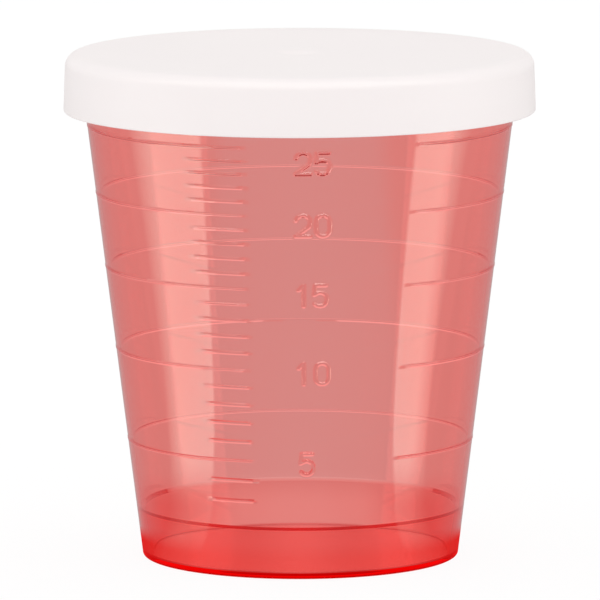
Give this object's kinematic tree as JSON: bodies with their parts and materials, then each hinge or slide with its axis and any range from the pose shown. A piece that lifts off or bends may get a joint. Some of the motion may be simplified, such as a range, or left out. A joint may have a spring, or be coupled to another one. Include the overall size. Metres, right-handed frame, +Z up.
{
  "type": "medicine cup",
  "caption": "Conical graduated medicine cup of clear red plastic with raised scale lines, a thick foot band and a white press-on lid.",
  "frame": {"origin": "centre of the cup's foot, on the surface that it stands on", "axes": "+Z up along the cup's axis, -Y towards the front, where the scale is read, +X to the right seen from the front"},
  "size_m": [0.039, 0.039, 0.042],
  "materials": {
    "clear_red_plastic": "glossy, clear, tinted through",
    "white_plastic": "satin, slightly translucent"
  },
  "bodies": {
    "cup": {"cup": "clear_red_plastic"},
    "lid": {"lid": "white_plastic"}
  },
  "joints": [
    {"name": "lid_lift", "type": "slide", "parent": "cup", "child": "lid", "axis": [0, 0, 1], "range_m": [0, 0.02]}
  ]
}
